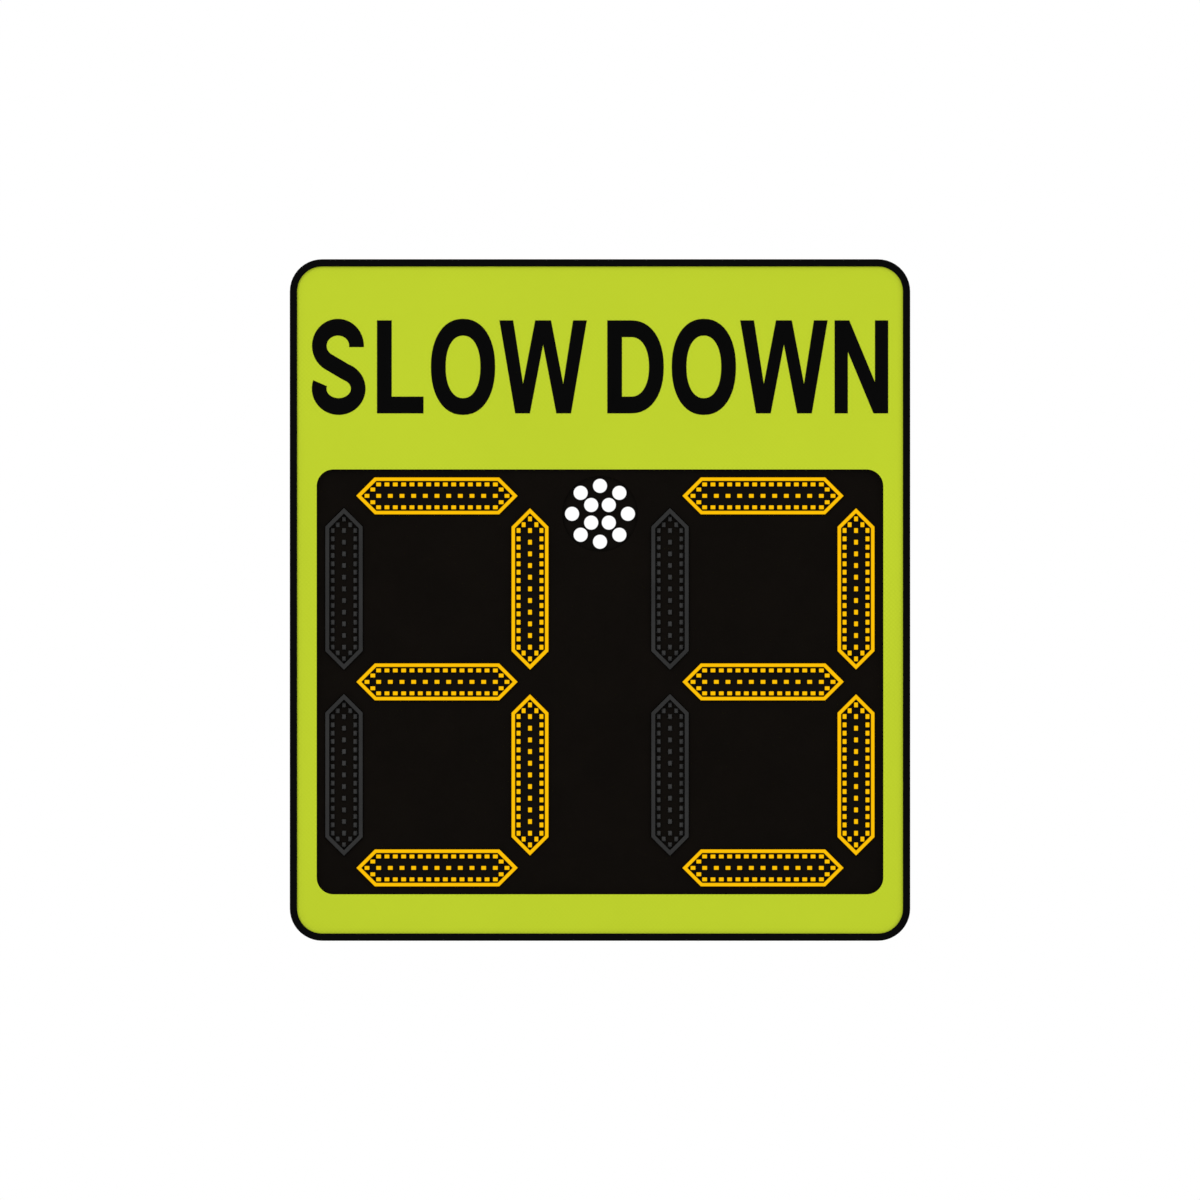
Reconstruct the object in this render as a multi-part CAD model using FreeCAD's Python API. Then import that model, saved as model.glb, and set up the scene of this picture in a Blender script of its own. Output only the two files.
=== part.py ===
"""Radar speed sign: a post-mounted cabinet whose hinged front shows two LED digits and a strobe.

Millimetres. +Z is up, the sign faces -Y, and the origin is the middle of the post bolts,
on the plane where the mounting rails meet the post.
"""

import FreeCAD
import Part

import math
import os

Vector = FreeCAD.Vector

# Digits: seven segments on a square grid, two grid squares tall
segment_pitch = 173.0        # side of a grid square, between segment centre lines
segment_width = 34.8
corner_gap = 11.2            # from a segment's tip to the centre line it points at
guide_width = 3.7            # light guide that outlines each segment
guide_proud = 2.5            # guide above the display panel
guide_clearance = 0.3        # guide in its opening
digit_gap = 95.4             # clear width between the digits, where the strobe sits
upright_turn = 90.0          # degrees from a level segment to an upright one

# LEDs: each lens is a low pyramid
led_length = 4.6
led_width = 3.7
led_height = 3.0
led_edge_gap = 1.2           # from the side rows to the guide
shoulder_gap = 0.2           # from the corner of a shoulder LED to the guide's slope
side_row_count = 15
side_row_inset = 3.6         # from a segment's shoulder to the side row's last LED
middle_row_count = 13
middle_row_inset = 10.2      # from a segment's tip to the middle row's last LED

# Strobe: lenses on the axes and the diagonals of a ring, round a square of four
axis_lens_offset = 26.0
diagonal_lens_x = 18.0
diagonal_lens_z = 19.5
inner_lens_offset = 8.2
lens_diameter = 13.4
lens_sides = 16
lens_proud = 3.0
lens_crown = 1.8             # chamfer round a lens's front
strobe_rise = 156.3          # above the middle of the display
strobe_opening_margin = 2.0

# Window in the face, and the margins of the face round it
window_side_margin = 8.0
window_end_margin = 7.2
window_radius = 15.6
face_side_margin = 25.0
face_top_margin = 195.5      # field for the legend
face_bottom_margin = 43.2
face_thickness = 3.0

# Display panel and the boards behind it
panel_overlap = 6.5
panel_thickness = 4.0
panel_clearance = 1.5
seal_width = 5.0
seal_thickness = 1.5
board_margin = 6.0
board_thickness = 1.6
board_gap = 2.0
radar_height = 92.0
radar_depth = 18.0
radar_drop = 86.0            # below the middle of the display
antenna_thickness = 2.4
antenna_inset = 4.0

# Front door: a folded frame, and the black retainer that clamps the face to it
corner_radius = 30.0
border_width = 6.8
retainer_sheet = 2.0
retainer_skirt = 18.0
door_sheet = 2.0
door_depth = 42.0
tape_thickness = 1.0
tape_width = 8.0

# Rear tub
tub_inset = 28.0
tub_depth = 80.0
tub_sheet = 2.0
tub_flange = 18.0
gasket_thickness = 3.0
gasket_width = 12.0

# Mounting rails: hat sections with slots for post bolts
rail_spacing = 400.0
rail_length = 330.0
rail_depth = 25.0
rail_web = 44.0
rail_foot = 22.0
rail_sheet = 2.5
slot_spacing = 76.0
slot_length = 30.0
slot_width = 9.0

# Lift-off hinges on the left, padlock lugs on the right
hinge_spacing = 420.0
hinge_block = 10.0
hinge_block_length = 30.0
hinge_block_gap = 0.5
hinge_pin_radius = 2.5
hinge_pin_length = 24.0
hinge_pin_clearance = 0.05
hinge_swing_gap = 0.6        # between a block's corners and what swings past them
lug_thickness = 4.0
lug_gap = 0.4
lug_width = 20.0
lug_length = 34.0
lug_corner = 5.0
lug_hole_radius = 4.5
lug_wall_clearance = 2.5

# Cable entry in the tub's floor: a frame that holds a rubber grommet
entry_width = 52.0
entry_depth = 24.0
entry_x = 150.0
entry_from_back = 38.0
entry_clearance = 0.2
entry_frame_wall = 9.0
entry_frame_height = 13.0
grommet_proud = 2.0
grommet_rise = 6.0           # inside the tub, above its floor

# Electronics in the tub
plate_width = 380.0
plate_height = 250.0
plate_thickness = 2.0
plate_rise = 110.0
plate_side_margin = 20.0     # from the plate's sides to the controller and the regulator
post_sides = 6               # of the standoffs and spacers
standoff_length = 8.0
standoff_across_corners = 9.0
standoff_inset = 14.0
controller_width = 170.0
controller_height = 130.0
spacer_length = 6.0
spacer_across_corners = 7.0
spacer_inset = 7.0
regulator_width = 120.0
regulator_height = 90.0
regulator_base = 22.0
fin_count = 7
fin_height = 14.0
fin_thickness = 4.0
terminal_width = 110.0
terminal_height = 26.0
terminal_depth = 30.0
terminal_rise = 26.0         # above the equipment plate's lower edge
terminal_slot = 9.0
terminal_pole_count = 8
battery_width = 151.0
battery_height = 94.0
battery_depth = 65.0
battery_x = -110.0
battery_terminal = 7.0
battery_terminal_inset = 20.0
strap_width = 26.0
strap_sheet = 1.5
strap_foot = 22.0

# The display reads 33: these segments of each digit are lit
lit_places = ("top", "upper_right", "lower_right", "bottom", "middle")

# Sizes that follow from those above
segment_length = segment_pitch - 2 * corner_gap
digit_width = segment_pitch + segment_width
digit_height = 2 * segment_pitch + segment_width
digit_x = (digit_width + digit_gap) / 2
window_width = 2 * digit_width + digit_gap + 2 * window_side_margin
window_height = digit_height + 2 * window_end_margin
face_width = window_width + 2 * face_side_margin
face_height = face_bottom_margin + window_height + face_top_margin
display_z = -face_height / 2 + face_bottom_margin + window_height / 2
panel_width = window_width + 2 * panel_overlap
panel_height = window_height + 2 * panel_overlap
board_width = digit_width + 2 * board_margin
board_height = digit_height + 2 * board_margin
middle_board_width = 2 * (digit_x - board_width / 2 - board_gap)
tub_width = face_width - 2 * tub_inset
tub_height = face_height - 2 * tub_inset
controller_x = -(plate_width - controller_width) / 2 + plate_side_margin
regulator_x = (plate_width - regulator_width) / 2 - plate_side_margin

# Depth stack, from the post face towards the front
tub_back_y = -rail_depth
tub_floor_y = tub_back_y - tub_sheet
tub_front_y = tub_back_y - tub_depth
door_rear_y = tub_front_y - gasket_thickness
front_y = door_rear_y - door_depth
face_front_y = front_y + retainer_sheet
face_rear_y = face_front_y + face_thickness
ledge_front_y = face_rear_y + tape_thickness
panel_front_y = face_rear_y + seal_thickness
board_front_y = panel_front_y + panel_thickness
board_rear_y = board_front_y + board_thickness
plate_rear_y = tub_floor_y - standoff_length
plate_front_y = plate_rear_y - plate_thickness

# Distance at which two points count as one
same_point = 1e-6

# Hinge axis, outside the tub's left wall and behind the door
hinge_reach = hinge_block * math.sqrt(0.5) + hinge_swing_gap
hinge_x = -tub_width / 2 - hinge_reach
hinge_y = door_rear_y + hinge_reach


def box(x_limits, y_limits, z_limits):
    """Block between two limits on each axis."""
    (x0, x1), (y0, y1), (z0, z1) = x_limits, y_limits, z_limits
    return Part.makeBox(x1 - x0, y1 - y0, z1 - z0, Vector(x0, y0, z0))


def centred_box(centre_x, centre_z, width, height, y_limits):
    """Block centred on a point of the front view."""
    half_width, half_height = width / 2, height / 2
    return box(
        (centre_x - half_width, centre_x + half_width),
        y_limits,
        (centre_z - half_height, centre_z + half_height),
    )


def rounded_plate(width, height, radius, y_limits, centre_z=0.0):
    """Rounded rectangle of the front view, extruded between two depths."""
    y0, y1 = y_limits
    half_x, half_z = width / 2, height / 2
    inner_x, inner_z = half_x - radius, half_z - radius
    bulge = radius * math.sqrt(0.5)
    edges = []
    for turn in range(4):
        sign_x = (1, -1, -1, 1)[turn]
        sign_z = (1, 1, -1, -1)[turn]
        side = Vector(sign_x * half_x, y0, sign_z * inner_z)
        top = Vector(sign_x * inner_x, y0, sign_z * half_z)
        middle = Vector(sign_x * (inner_x + bulge), y0, sign_z * (inner_z + bulge))
        start, end = (side, top) if turn % 2 == 0 else (top, side)
        if edges:
            edges.append(Part.LineSegment(previous, start).toShape())
        else:
            first = start
        edges.append(Part.Arc(start, middle, end).toShape())
        previous = end
    edges.append(Part.LineSegment(previous, first).toShape())
    solid = Part.Face(Part.Wire(edges)).extrude(Vector(0, y1 - y0, 0))
    solid.translate(Vector(0, 0, centre_z))
    return solid


def polygon_wire(points):
    """Closed polygon through points."""
    return Part.makePolygon(points + points[:1])


def polygon_prism(points, direction):
    """Closed polygon of points, extruded along a direction."""
    return Part.Face(polygon_wire(points)).extrude(direction)


def folded_prism(points, fold_points, direction, sheet):
    """Section of a folded sheet, extruded along a direction, with the outside of its folds rounded."""
    solid = polygon_prism(points, direction)
    middles = [point + direction * 0.5 for point in fold_points]
    folds = [
        edge
        for edge in solid.Edges
        if any(edge.CenterOfMass.isEqual(middle, same_point) for middle in middles)
    ]
    return solid.makeFillet(sheet, folds)


def edges_at(solid, depths):
    """Edges of a solid that lie at the given depths."""
    return [
        edge
        for edge in solid.Edges
        if any(all(abs(vertex.Y - depth) < same_point for vertex in edge.Vertexes) for depth in depths)
    ]


def regular_outline(sides, across_corners, middle):
    """Corners of a regular polygon of the front view."""
    turns = [2 * math.pi * corner / sides for corner in range(sides)]
    radius = across_corners / 2
    return [middle + Vector(radius * math.cos(turn), 0, radius * math.sin(turn)) for turn in turns]


def segment_prism(length, width, y_limits):
    """Bar with 45 degree tips, lying along X."""
    y0, y1 = y_limits
    tip, shoulder, half = length / 2, (length - width) / 2, width / 2
    right = [(shoulder, -half), (tip, 0), (shoulder, half)]
    outline = right + [(-x, -z) for x, z in right]
    return polygon_prism([Vector(x, y0, z) for x, z in outline], Vector(0, y1 - y0, 0))


def inset_segment_prism(inset, y_limits):
    """A segment with every side moved in by inset, or out where it is negative."""
    return segment_prism(
        segment_length - 2 * math.sqrt(2) * inset, segment_width - 2 * inset, y_limits
    )


def digit_segments(digit_centre_x):
    """Name, middle and turn about Y of each segment of a digit."""
    side, step = segment_pitch / 2, segment_pitch
    places = {
        "top": (0, step, 0),
        "middle": (0, 0, 0),
        "bottom": (0, -step, 0),
        "upper_left": (-side, step / 2, upright_turn),
        "upper_right": (side, step / 2, upright_turn),
        "lower_left": (-side, -step / 2, upright_turn),
        "lower_right": (side, -step / 2, upright_turn),
    }
    for place, (x, z, turn) in places.items():
        yield place, Vector(digit_centre_x + x, 0, display_z + z), turn


def placed(shape, middle, turn):
    """Copy of a segment's shape, turned about Y and moved to its place on a digit."""
    copy = shape.copy()
    copy.rotate(Vector(0, 0, 0), Vector(0, 1, 0), turn)
    copy.translate(middle)
    return copy


def led_centres():
    """Places of the LEDs on a segment that lies along X: two side rows, a middle row and shoulders."""
    side_z = segment_width / 2 - guide_width - led_edge_gap - led_width / 2
    side_end = (segment_length - segment_width) / 2 - side_row_inset
    middle_end = segment_length / 2 - middle_row_inset
    for index in range(side_row_count):
        x = side_end * (2 * index / (side_row_count - 1) - 1)
        yield x, side_z
        yield x, -side_z
    for index in range(middle_row_count):
        yield middle_end * (2 * index / (middle_row_count - 1) - 1), 0
    shoulder_x = (side_end + middle_end) / 2
    slope_reach = segment_length / 2 - math.sqrt(2) * (guide_width + shoulder_gap)
    shoulder_z = slope_reach - shoulder_x - (led_length + led_width) / 2
    for sign_x in (1, -1):
        for sign_z in (1, -1):
            yield sign_x * shoulder_x, sign_z * shoulder_z


def led_lens():
    """One LED: a pyramid that stands on its board, longer along the segment."""
    half_x, half_z = led_length / 2, led_width / 2
    corners = [(half_x, half_z), (-half_x, half_z), (-half_x, -half_z), (half_x, -half_z)]
    base = [Vector(x, board_front_y, z) for x, z in corners]
    tip = Part.Vertex(0, board_front_y - led_height, 0)
    return Part.makeLoft([polygon_wire(base), tip], True, True)


def segment_leds():
    """The LEDs of one segment that lies along X."""
    lens = led_lens()
    leds = []
    for x, z in led_centres():
        led = lens.copy()
        led.translate(Vector(x, 0, z))
        leds.append(led)
    return Part.makeCompound(leds)


def light_guide():
    """Outline of one segment, standing on the board and proud of the panel."""
    y_limits = (panel_front_y - guide_proud, board_front_y)
    return inset_segment_prism(0, y_limits).cut(inset_segment_prism(guide_width, y_limits))


def display_parts():
    """Panel, boards, light guides and LEDs of the two digits."""
    parts = {}
    guide, leds = light_guide(), segment_leds()
    opening = inset_segment_prism(-guide_clearance, (panel_front_y, board_front_y))
    openings = [strobe_opening()]
    for side, centre_x in (("left", -digit_x), ("right", digit_x)):
        groups = {True: [], False: []}
        for place, middle, turn in digit_segments(centre_x):
            openings.append(placed(opening, middle, turn))
            parts[f"{side}_{place}_light_guide"] = placed(guide, middle, turn)
            groups[place in lit_places].extend(placed(leds, middle, turn).Solids)
        parts[f"{side}_lit_leds"] = Part.makeCompound(groups[True])
        parts[f"{side}_dark_leds"] = Part.makeCompound(groups[False])
        parts[f"{side}_digit_board"] = centred_box(
            centre_x, display_z, board_width, board_height, (board_front_y, board_rear_y)
        )
    panel = centred_box(0, display_z, panel_width, panel_height, (panel_front_y, board_front_y))
    parts["display_panel"] = panel.cut(openings)
    return parts


def strobe_middle_z():
    """Height of the strobe's middle."""
    return display_z + strobe_rise


def strobe_opening():
    """Round hole in the panel that the strobe's lenses stand in."""
    reach = max(axis_lens_offset, math.hypot(diagonal_lens_x, diagonal_lens_z))
    radius = reach + lens_diameter / 2 + strobe_opening_margin
    middle = Vector(0, panel_front_y, strobe_middle_z())
    return Part.makeCylinder(radius, panel_thickness, middle, Vector(0, 1, 0))


def strobe_lens():
    """One lens of the strobe: a round bar with a chamfered crown, standing on its board."""
    front = panel_front_y - lens_proud
    outline = regular_outline(lens_sides, lens_diameter, Vector(0, front, strobe_middle_z()))
    bar = polygon_prism(outline, Vector(0, board_front_y - front, 0))
    return bar.makeChamfer(lens_crown, edges_at(bar, (front,)))


def strobe_parts():
    """Strobe board with its lenses, on the back of the panel."""
    places = []
    for sign in (1, -1):
        places += [(sign * axis_lens_offset, 0), (0, sign * axis_lens_offset)]
        for other_sign in (1, -1):
            places.append((sign * inner_lens_offset, other_sign * inner_lens_offset))
            places.append((sign * diagonal_lens_x, other_sign * diagonal_lens_z))
    lenses = []
    for x, z in places:
        lens = strobe_lens()
        lens.translate(Vector(x, 0, z))
        lenses.append(lens)
    board = centred_box(
        0, strobe_middle_z(), middle_board_width, middle_board_width, (board_front_y, board_rear_y)
    )
    return {"strobe_board": board, "strobe_lenses": Part.makeCompound(lenses)}


def radar_parts():
    """Doppler radar behind the panel, between the digit boards: its antenna lies on the panel."""
    middle_z = display_z - radar_drop
    antenna_rear_y = board_front_y + antenna_thickness
    antenna = centred_box(
        0,
        middle_z,
        middle_board_width - 2 * antenna_inset,
        radar_height - 2 * antenna_inset,
        (board_front_y, antenna_rear_y),
    )
    housing = centred_box(
        0, middle_z, middle_board_width, radar_height, (antenna_rear_y, antenna_rear_y + radar_depth)
    )
    return {"radar_antenna": antenna, "radar_module": housing}


def frame_ring(outer, inner, y_limits):
    """Four butted strips round an opening, from (half width, low z, high z) outside and inside."""
    (outer_x, outer_low, outer_high), (inner_x, inner_low, inner_high) = outer, inner
    strips = [
        box((-outer_x, outer_x), y_limits, (inner_high, outer_high)),
        box((-outer_x, outer_x), y_limits, (outer_low, inner_low)),
        box((-outer_x, -inner_x), y_limits, (inner_low, inner_high)),
        box((inner_x, outer_x), y_limits, (inner_low, inner_high)),
    ]
    return Part.makeCompound(strips)


def face_parts():
    """Face sheet with its window, the retainer round it, and the tape and seal behind it."""
    retainer_inner_width = face_width - 2 * retainer_sheet
    retainer_inner_height = face_height - 2 * retainer_sheet
    retainer_inner_radius = corner_radius - retainer_sheet
    face = rounded_plate(
        retainer_inner_width,
        retainer_inner_height,
        retainer_inner_radius,
        (face_front_y, face_rear_y),
    ).cut(
        rounded_plate(
            window_width, window_height, window_radius, (face_front_y, face_rear_y), display_z
        )
    )
    skirt_end_y = front_y + retainer_skirt
    retainer = rounded_plate(face_width, face_height, corner_radius, (front_y, skirt_end_y)).cut(
        [
            rounded_plate(
                retainer_inner_width,
                retainer_inner_height,
                retainer_inner_radius,
                (face_front_y, skirt_end_y),
            ),
            rounded_plate(
                face_width - 2 * border_width,
                face_height - 2 * border_width,
                corner_radius - border_width,
                (front_y, face_front_y),
            ),
        ]
    )
    half_tape_x = face_width / 2 - corner_radius
    half_tape_z = face_height / 2 - corner_radius
    edge_x = retainer_inner_width / 2 - tape_width
    edge_z = retainer_inner_height / 2 - tape_width
    tape_depth = (face_rear_y, ledge_front_y)
    strips = []
    for sign in (1, -1):
        side = sorted((sign * edge_x, sign * (edge_x + tape_width)))
        end = sorted((sign * edge_z, sign * (edge_z + tape_width)))
        strips.append(box(side, tape_depth, (-half_tape_z, half_tape_z)))
        strips.append(box((-half_tape_x, half_tape_x), tape_depth, end))
    seal_outer = (panel_width / 2, display_z - panel_height / 2, display_z + panel_height / 2)
    seal_inner = tuple(
        edge + move for edge, move in zip(seal_outer, (-seal_width, seal_width, -seal_width))
    )
    return {
        "face_panel": face,
        "face_retainer": retainer,
        "face_tape": Part.makeCompound(strips),
        "display_seal": frame_ring(seal_outer, seal_inner, (face_rear_y, panel_front_y)),
    }


def door_frame():
    """Folded frame: a front ledge for the face, side walls and a rear flange."""
    outer_width = face_width - 2 * retainer_sheet
    outer_height = face_height - 2 * retainer_sheet
    outer_radius = corner_radius - retainer_sheet
    ledge_width = (outer_width - panel_width) / 2 - panel_clearance
    cavity = (ledge_front_y + door_sheet, door_rear_y - door_sheet)
    frame = rounded_plate(outer_width, outer_height, outer_radius, (ledge_front_y, door_rear_y))
    return frame.cut(
        [
            rounded_plate(
                outer_width - 2 * door_sheet,
                outer_height - 2 * door_sheet,
                outer_radius - door_sheet,
                cavity,
            ),
            centred_box(
                0,
                0,
                outer_width - 2 * ledge_width,
                outer_height - 2 * ledge_width,
                (ledge_front_y, cavity[0]),
            ),
            mouth_opening((cavity[1], door_rear_y)),
        ]
    )


def mouth_opening(y_limits):
    """Opening that the tub's flange and the door's rear flange share."""
    return centred_box(0, 0, tub_width - 2 * tub_flange, tub_height - 2 * tub_flange, y_limits)


def padlock_lug(low, start_x, start_y):
    """Horizontal tab with clipped corners and a hole, between the door's edge and the tub's wall."""
    near_x = tub_width / 2 + lug_wall_clearance
    far_x = near_x + lug_width
    end_y = door_rear_y + lug_length
    outline = [
        (start_x, start_y),
        (far_x, start_y),
        (far_x, end_y - lug_corner),
        (far_x - lug_corner, end_y),
        (start_x, end_y),
    ]
    tab = polygon_prism([Vector(x, y, low) for x, y in outline], Vector(0, 0, lug_thickness))
    eye = Vector((near_x + far_x) / 2, end_y - lug_width / 2, low)
    return tab.cut(Part.makeCylinder(lug_hole_radius, lug_thickness, eye))


def lug_parts():
    """The tub's lug on its right wall, and the door's on its rear flange, just above it."""
    wall_x = tub_width / 2
    return {
        "tub_lug": padlock_lug(0, wall_x, door_rear_y + lug_length - lug_width),
        "door_lug": padlock_lug(lug_thickness + lug_gap, wall_x + lug_wall_clearance, door_rear_y),
    }


def rear_tub():
    """Folded tub with an inward flange at its mouth and a cable opening in its floor."""
    body = centred_box(0, 0, tub_width, tub_height, (tub_front_y, tub_back_y))
    body = body.makeFillet(tub_sheet, edges_at(body, (tub_front_y, tub_back_y)))
    flange_rear_y = tub_front_y + tub_sheet
    inside_width, inside_height = tub_width - 2 * tub_sheet, tub_height - 2 * tub_sheet
    return body.cut(
        [
            centred_box(0, 0, inside_width, inside_height, (flange_rear_y, tub_floor_y)),
            mouth_opening((tub_front_y, flange_rear_y)),
            entry_block(-tub_height / 2, tub_sheet, entry_clearance),
        ]
    )


def entry_block(low, height, margin):
    """Block on the axis of the cable entry, the grommet's size with a margin all round."""
    half_width, half_depth = entry_width / 2 + margin, entry_depth / 2 + margin
    middle_y = tub_back_y - entry_from_back
    return box(
        (entry_x - half_width, entry_x + half_width),
        (middle_y - half_depth, middle_y + half_depth),
        (low, low + height),
    )


def entry_parts():
    """Frame under the tub's floor, and the grommet that it holds in the opening."""
    floor = -tub_height / 2
    frame_low = floor - entry_frame_height
    frame = entry_block(frame_low, entry_frame_height, entry_clearance + entry_frame_wall)
    grommet_low = frame_low - grommet_proud
    grommet_high = floor + tub_sheet + grommet_rise
    return {
        "entry_frame": frame.cut(entry_block(frame_low, entry_frame_height, entry_clearance)),
        "entry_grommet": entry_block(grommet_low, grommet_high - grommet_low, 0),
    }


def door_gasket():
    """Four strips of sealing rubber on the tub's flange."""
    middle = tub_flange / 2
    outer_x = tub_width / 2 - middle + gasket_width / 2
    outer_z = tub_height / 2 - middle + gasket_width / 2
    inner_x, inner_z = outer_x - gasket_width, outer_z - gasket_width
    return frame_ring(
        (outer_x, -outer_z, outer_z),
        (inner_x, -inner_z, inner_z),
        (door_rear_y, tub_front_y),
    )


def mount_rail(middle_z):
    """Hat-section rail on the tub's back, folded from sheet, with two slots in its web."""
    half_web, half_rail = rail_web / 2, rail_web / 2 + rail_foot
    t = rail_sheet
    half_outline = [
        (half_rail, tub_back_y),
        (half_rail, tub_back_y + t),
        (half_web, tub_back_y + t),
        (half_web, 0),
    ]
    inner_outline = [(half_web - t, -t), (half_web - t, tub_back_y)]
    upper = half_outline + [(-z, y) for z, y in reversed(half_outline)]
    lower = [(-z, y) for z, y in reversed(inner_outline)] + inner_outline
    folds = [half_outline[-1], upper[len(half_outline)], lower[0], lower[-1]]
    outline, corners = (
        [Vector(-rail_length / 2, y, middle_z + z) for z, y in points] for points in (upper + lower, folds)
    )
    rail = folded_prism(outline, corners, Vector(rail_length, 0, 0), t)
    return rail.cut([post_slot(sign * slot_spacing / 2, middle_z) for sign in (1, -1)])


def post_slot(middle_x, middle_z):
    """Cutter for one slot, long in X, through a rail's web."""
    web = (-rail_sheet, 0)
    reach = (slot_length - slot_width) / 2
    slot = centred_box(middle_x, middle_z, 2 * reach, slot_width, web)
    ends = [
        Part.makeCylinder(
            slot_width / 2, rail_sheet, Vector(middle_x + sign * reach, web[0], middle_z), Vector(0, 1, 0)
        )
        for sign in (1, -1)
    ]
    return slot.fuse(ends).removeSplitter()


def hinge_parts():
    """Two hinges: the lower block and its pin stay on the tub, the bored upper block on the door."""
    half = hinge_block / 2
    length = hinge_block_length
    tub_halves, door_halves = [], []
    for middle_z in (-hinge_spacing / 2, hinge_spacing / 2):
        tub_high = middle_z - hinge_block_gap / 2
        door_low = middle_z + hinge_block_gap / 2
        tub_block = box(
            (hinge_x - half, -tub_width / 2),
            (hinge_y - half, hinge_y + half),
            (tub_high - length, tub_high),
        )
        door_block = box(
            (hinge_x - half, hinge_x + half),
            (door_rear_y, hinge_y + half),
            (door_low, door_low + length),
        )
        pin = Part.makeCylinder(hinge_pin_radius, hinge_pin_length, Vector(hinge_x, hinge_y, tub_high))
        bore = Part.makeCylinder(
            hinge_pin_radius + hinge_pin_clearance, hinge_pin_length, Vector(hinge_x, hinge_y, door_low)
        )
        tub_halves.append(tub_block.fuse(pin))
        door_halves.append(door_block.cut(bore))
    return {
        "hinge_tub_halves": Part.makeCompound(tub_halves),
        "hinge_door_halves": Part.makeCompound(door_halves),
    }


def hex_posts(centre_x, centre_z, width, height, inset, across_corners, y_limits):
    """Four hexagonal posts at the corners of a board or plate."""
    y0, y1 = y_limits
    posts = []
    for sign_x in (1, -1):
        for sign_z in (1, -1):
            x = centre_x + sign_x * (width / 2 - inset)
            z = centre_z + sign_z * (height / 2 - inset)
            outline = regular_outline(post_sides, across_corners, Vector(x, y0, z))
            posts.append(polygon_prism(outline, Vector(0, y1 - y0, 0)))
    return Part.makeCompound(posts)


def heat_sink(centre_x, centre_z):
    """Regulator: a base block with upright fins, in one casting."""
    base_front_y = plate_front_y - regulator_base
    body = centred_box(
        centre_x, centre_z, regulator_width, regulator_height, (base_front_y, plate_front_y)
    )
    step = (regulator_width - fin_thickness) / (fin_count - 1)
    left = centre_x - (regulator_width - fin_thickness) / 2
    fin_depth = (base_front_y - fin_height, base_front_y)
    fins = [
        centred_box(left + index * step, centre_z, fin_thickness, regulator_height, fin_depth)
        for index in range(fin_count)
    ]
    return body.fuse(fins).removeSplitter()


def terminal_block(centre_x, centre_z):
    """Terminal strip with a row of wire entries in its front."""
    front_terminal_y = plate_front_y - terminal_depth
    block = centred_box(
        centre_x, centre_z, terminal_width, terminal_height, (front_terminal_y, plate_front_y)
    )
    step = terminal_width / terminal_pole_count
    entries = [
        centred_box(
            centre_x + (index + 0.5) * step - terminal_width / 2,
            centre_z,
            terminal_slot,
            terminal_slot,
            (front_terminal_y, front_terminal_y + terminal_slot),
        )
        for index in range(terminal_pole_count)
    ]
    return block.cut(entries)


def equipment_parts():
    """Equipment plate on its standoffs, with the controller, the charge regulator and the terminals."""
    controller_rear_y = plate_front_y - spacer_length
    controller_z = plate_rise + (plate_height - controller_height) / 2 - standoff_inset
    regulator_z = plate_rise + (plate_height - regulator_height) / 2 - standoff_inset
    terminal_z = plate_rise - plate_height / 2 + terminal_rise
    return {
        "equipment_plate": centred_box(
            0, plate_rise, plate_width, plate_height, (plate_front_y, plate_rear_y)
        ),
        "plate_standoffs": hex_posts(
            0,
            plate_rise,
            plate_width,
            plate_height,
            standoff_inset,
            standoff_across_corners,
            (plate_rear_y, tub_floor_y),
        ),
        "controller_board": centred_box(
            controller_x,
            controller_z,
            controller_width,
            controller_height,
            (controller_rear_y - board_thickness, controller_rear_y),
        ),
        "controller_spacers": hex_posts(
            controller_x,
            controller_z,
            controller_width,
            controller_height,
            spacer_inset,
            spacer_across_corners,
            (controller_rear_y, plate_front_y),
        ),
        "charge_regulator": heat_sink(regulator_x, regulator_z),
        "terminal_block": terminal_block(regulator_x, terminal_z),
    }


def battery_parts():
    """Backup battery on the tub's floor, held to its back by a strap."""
    low = -tub_height / 2 + tub_sheet
    high = low + battery_height
    front = tub_floor_y - battery_depth
    battery = centred_box(
        battery_x, (low + high) / 2, battery_width, battery_height, (front, tub_floor_y)
    )
    terminals = [
        centred_box(
            battery_x + sign * (battery_width / 2 - battery_terminal_inset),
            high + battery_terminal / 2,
            battery_terminal,
            battery_terminal,
            (front + battery_terminal, front + 2 * battery_terminal),
        )
        for sign in (1, -1)
    ]
    half = battery_width / 2
    t = strap_sheet
    outside = [
        (half + t + strap_foot, tub_floor_y),
        (half + t + strap_foot, tub_floor_y - t),
        (half + t, tub_floor_y - t),
        (half + t, front - t),
    ]
    inside = [(half, front), (half, tub_floor_y)]
    outer = outside + [(-x, y) for x, y in reversed(outside)]
    inner = [(-x, y) for x, y in reversed(inside)] + inside
    folds = [outside[-1], outer[len(outside)], inner[0], inner[-1]]
    strap_low = (low + high - strap_width) / 2
    outline, corners = (
        [Vector(battery_x + x, y, strap_low) for x, y in points] for points in (outer + inner, folds)
    )
    strap = folded_prism(outline, corners, Vector(0, 0, strap_width), t)
    return {"battery": battery.fuse(terminals), "battery_strap": strap}


def all_parts():
    """Every piece of the sign, by name."""
    parts = {
        "rear_tub": rear_tub(),
        "door_gasket": door_gasket(),
        "upper_mount_rail": mount_rail(rail_spacing / 2),
        "lower_mount_rail": mount_rail(-rail_spacing / 2),
        "door_frame": door_frame(),
    }
    for made in (
        entry_parts,
        lug_parts,
        equipment_parts,
        battery_parts,
        hinge_parts,
        face_parts,
        display_parts,
        strobe_parts,
        radar_parts,
    ):
        parts.update(made())
    return parts


def main():
    """Writes one STEP file for each piece."""
    os.makedirs("parts", exist_ok=True)
    for name, shape in all_parts().items():
        shape.exportStep(os.path.join("parts", name + ".step"))


main()
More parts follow.
